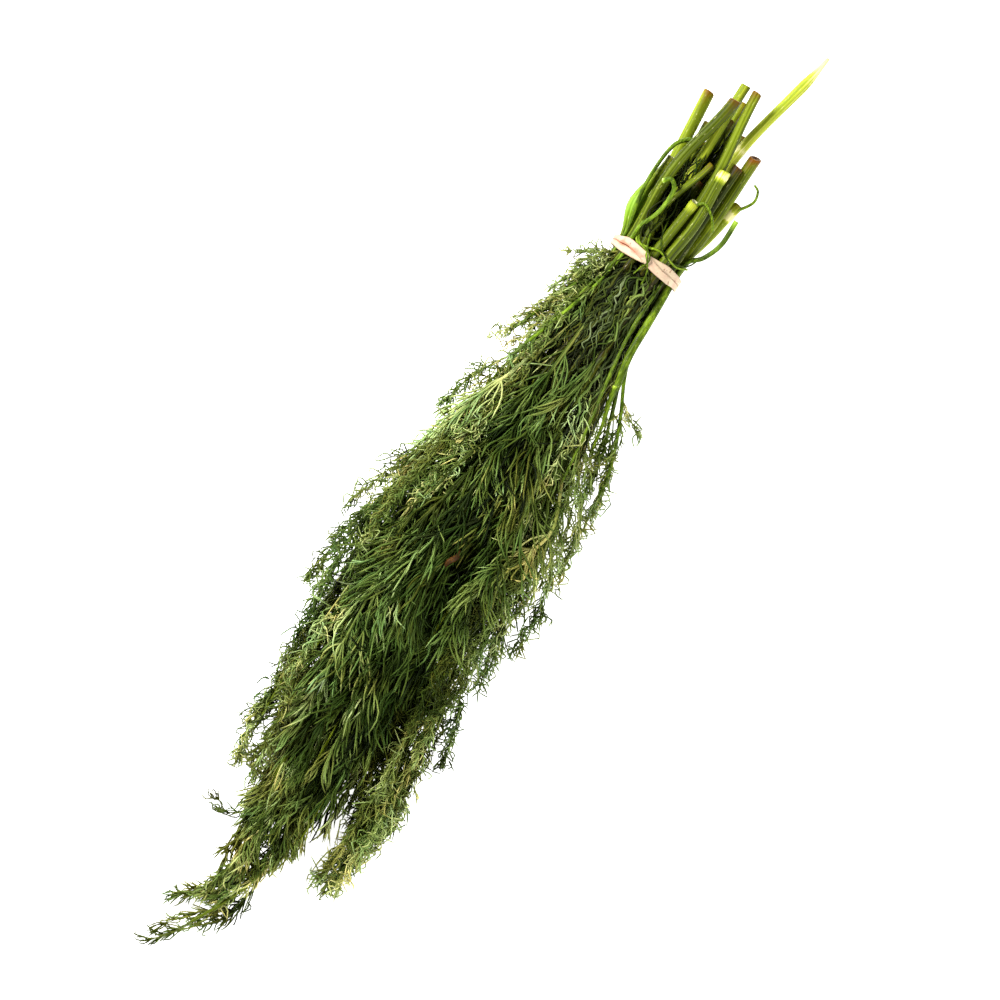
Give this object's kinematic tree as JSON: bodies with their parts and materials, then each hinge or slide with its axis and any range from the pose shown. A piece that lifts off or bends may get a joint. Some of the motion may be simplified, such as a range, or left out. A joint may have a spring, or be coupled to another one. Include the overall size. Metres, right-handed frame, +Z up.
{
  "type": "dill bunch",
  "caption": "Bunch of fresh dill lying on its side: feathery green leafy stems, their cut ends together, held by a doubled rubber band.",
  "frame": {"origin": "middle of the flat spot under the rubber band's turn next to the leaves, on the surface that the bunch lies on", "axes": "+X along the bunch from the band to the cut stem ends (the leaf tips are at -X), +Y across it, +Z up"},
  "size_m": [0.4052, 0.0886, 0.0503],
  "materials": {
    "dill_green": "fresh plant tissue, waxy and satin: dark blue-green threads on paler yellow-green stems",
    "leaf_stalk": "fresh plant tissue, smooth satin bright green",
    "band_rubber": "matt natural rubber, pinkish beige"
  },
  "bodies": {
    "root": {"dill_stem_01": "dill_green", "dill_stem_02": "dill_green", "dill_stem_03": "dill_green", "dill_stem_04": "dill_green", "dill_stem_05": "dill_green", "dill_stem_06": "dill_green", "dill_stem_07": "dill_green", "dill_stem_08": "dill_green", "dill_stem_09": "dill_green", "dill_stem_10": "dill_green", "dill_stem_11": "dill_green", "dill_stem_12": "dill_green", "dill_stem_13": "dill_green", "dill_stem_14": "dill_green", "dill_stem_15": "dill_green", "dill_stem_16": "dill_green", "dill_stem_17": "dill_green", "dill_stem_18": "dill_green", "dill_stem_19": "dill_green", "dill_stem_20": "dill_green", "dill_stem_21": "dill_green", "leaf_stalk_arched": "leaf_stalk", "leaf_stalk_hooked": "leaf_stalk", "leaf_stalk_curved": "leaf_stalk", "rubber_band": "band_rubber"}
  },
  "joints": []
}
